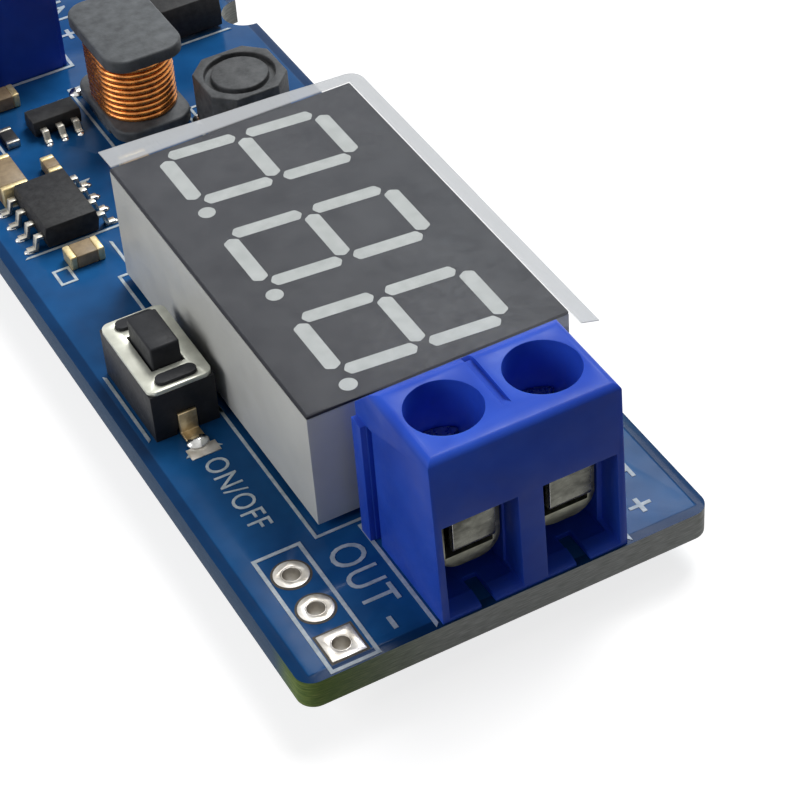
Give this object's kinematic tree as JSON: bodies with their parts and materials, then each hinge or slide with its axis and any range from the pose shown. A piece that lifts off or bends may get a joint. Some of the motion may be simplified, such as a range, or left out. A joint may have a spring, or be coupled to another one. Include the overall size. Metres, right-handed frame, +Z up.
{
  "type": "buck converter module",
  "caption": "Voltage step-down circuit board with a seven-segment voltmeter display, an on/off push button, wound inductors and a rising-clamp screw terminal at each end.",
  "frame": {"origin": "middle of the board's outline in X and Y, at the level of the trimmed terminal pin tips that the module stands on", "axes": "+X across the board towards its notched edge, +Y along the board from the output terminal to the input terminal, +Z up out of the display face"},
  "size_m": [0.0218, 0.059, 0.0131],
  "materials": {
    "board": "blue solder mask on glass-fibre board",
    "plating": "tinned copper",
    "solder": "solder",
    "white_plastic": "white moulded plastic",
    "display_face": "dark printed face",
    "diffuser": "pale cast resin",
    "resin": "cream potting resin",
    "film": "clear protective film",
    "blue_plastic": "blue moulded plastic, half gloss",
    "tin_steel": "tin-plated steel",
    "black_plastic": "black moulded plastic",
    "cover_steel": "pale nickel-plated steel",
    "ferrite": "grey ferrite",
    "copper_wire": "enamelled copper wire",
    "ceramic": "tan ceramic",
    "trimmer_blue": "blue trimmer case",
    "trimmer_cream": "cream rotor"
  },
  "bodies": {
    "module": {"board": "board", "header_plating": "plating", "pin_plating": "plating", "copper_lands": "plating", "solder_joints": "solder", "display_shell": "white_plastic", "display_mask": "display_face", "display_segments": "diffuser", "display_potting": "resin", "display_pins": "tin_steel", "display_film": "film", "output_housing": "blue_plastic", "output_contacts": "tin_steel", "input_housing": "blue_plastic", "input_contacts": "tin_steel", "button_base": "black_plastic", "button_cover": "cover_steel", "button_dome": "cover_steel", "button_leads": "tin_steel", "drum_core": "ferrite", "drum_winding": "copper_wire", "drum_feet": "tin_steel", "shield_core": "ferrite", "shield_feet": "tin_steel", "chip_body": "black_plastic", "chip_leads": "tin_steel", "capacitor_bodies": "ceramic", "capacitor_ends": "tin_steel", "resistor_bodies": "black_plastic", "resistor_ends": "tin_steel", "diode_body": "black_plastic", "diode_tabs": "tin_steel", "trimmer_base": "trimmer_blue", "trimmer_tabs": "tin_steel", "switch_chip_body": "black_plastic", "switch_chip_leads": "tin_steel"},
    "output_screw_left": {"output_screw_left": "tin_steel"},
    "output_cage_left": {"output_cage_left": "tin_steel"},
    "output_screw_right": {"output_screw_right": "tin_steel"},
    "output_cage_right": {"output_cage_right": "tin_steel"},
    "input_screw_left": {"input_screw_left": "tin_steel"},
    "input_cage_left": {"input_cage_left": "tin_steel"},
    "input_screw_right": {"input_screw_right": "tin_steel"},
    "input_cage_right": {"input_cage_right": "tin_steel"},
    "button_plunger": {"button_plunger": "black_plastic"},
    "trimmer_rotor": {"trimmer_rotor": "trimmer_cream"}
  },
  "joints": [
    {"name": "output_screw_left_turn", "type": "hinge", "parent": "module", "child": "output_screw_left", "pos_m": [-0.00124, -0.02615, 0.01035], "axis": [0, 0, 1], "range_deg": [-396, 684]},
    {"name": "output_cage_left_rise", "type": "slide", "parent": "module", "child": "output_cage_left", "axis": [0, 0, 1], "range_m": [-0.00095, 0.00055]},
    {"name": "output_screw_right_turn", "type": "hinge", "parent": "module", "child": "output_screw_right", "pos_m": [0.00384, -0.02615, 0.01035], "axis": [0, 0, 1], "range_deg": [-396, 684]},
    {"name": "output_cage_right_rise", "type": "slide", "parent": "module", "child": "output_cage_right", "axis": [0, 0, 1], "range_m": [-0.00095, 0.00055]},
    {"name": "input_screw_left_turn", "type": "hinge", "parent": "module", "child": "input_screw_left", "pos_m": [-0.00834, 0.02615, 0.01035], "axis": [0, 0, 1], "range_deg": [-396, 684]},
    {"name": "input_cage_left_rise", "type": "slide", "parent": "module", "child": "input_cage_left", "axis": [0, 0, 1], "range_m": [-0.00095, 0.00055]},
    {"name": "input_screw_right_turn", "type": "hinge", "parent": "module", "child": "input_screw_right", "pos_m": [-0.00326, 0.02615, 0.01035], "axis": [0, 0, 1], "range_deg": [-396, 684]},
    {"name": "input_cage_right_rise", "type": "slide", "parent": "module", "child": "input_cage_right", "axis": [0, 0, 1], "range_m": [-0.00095, 0.00055]},
    {"name": "button_press", "type": "slide", "parent": "module", "child": "button_plunger", "axis": [0, 0, 1], "range_m": [-0.00025, 0], "stiffness_N_per_m": 300, "springref_m": 0.0002},
    {"name": "trimmer_turn", "type": "hinge", "parent": "module", "child": "trimmer_rotor", "pos_m": [-0.00895, 0.0173, 0.0053], "axis": [0, 0, 1], "range_deg": [-125, 125]}
  ],
  "couplings": [
    {"joint": "output_screw_left_turn", "follows": "output_cage_left_rise", "rad_per_m": -12566},
    {"joint": "output_screw_right_turn", "follows": "output_cage_right_rise", "rad_per_m": -12566},
    {"joint": "input_screw_left_turn", "follows": "input_cage_left_rise", "rad_per_m": -12566},
    {"joint": "input_screw_right_turn", "follows": "input_cage_right_rise", "rad_per_m": -12566}
  ]
}
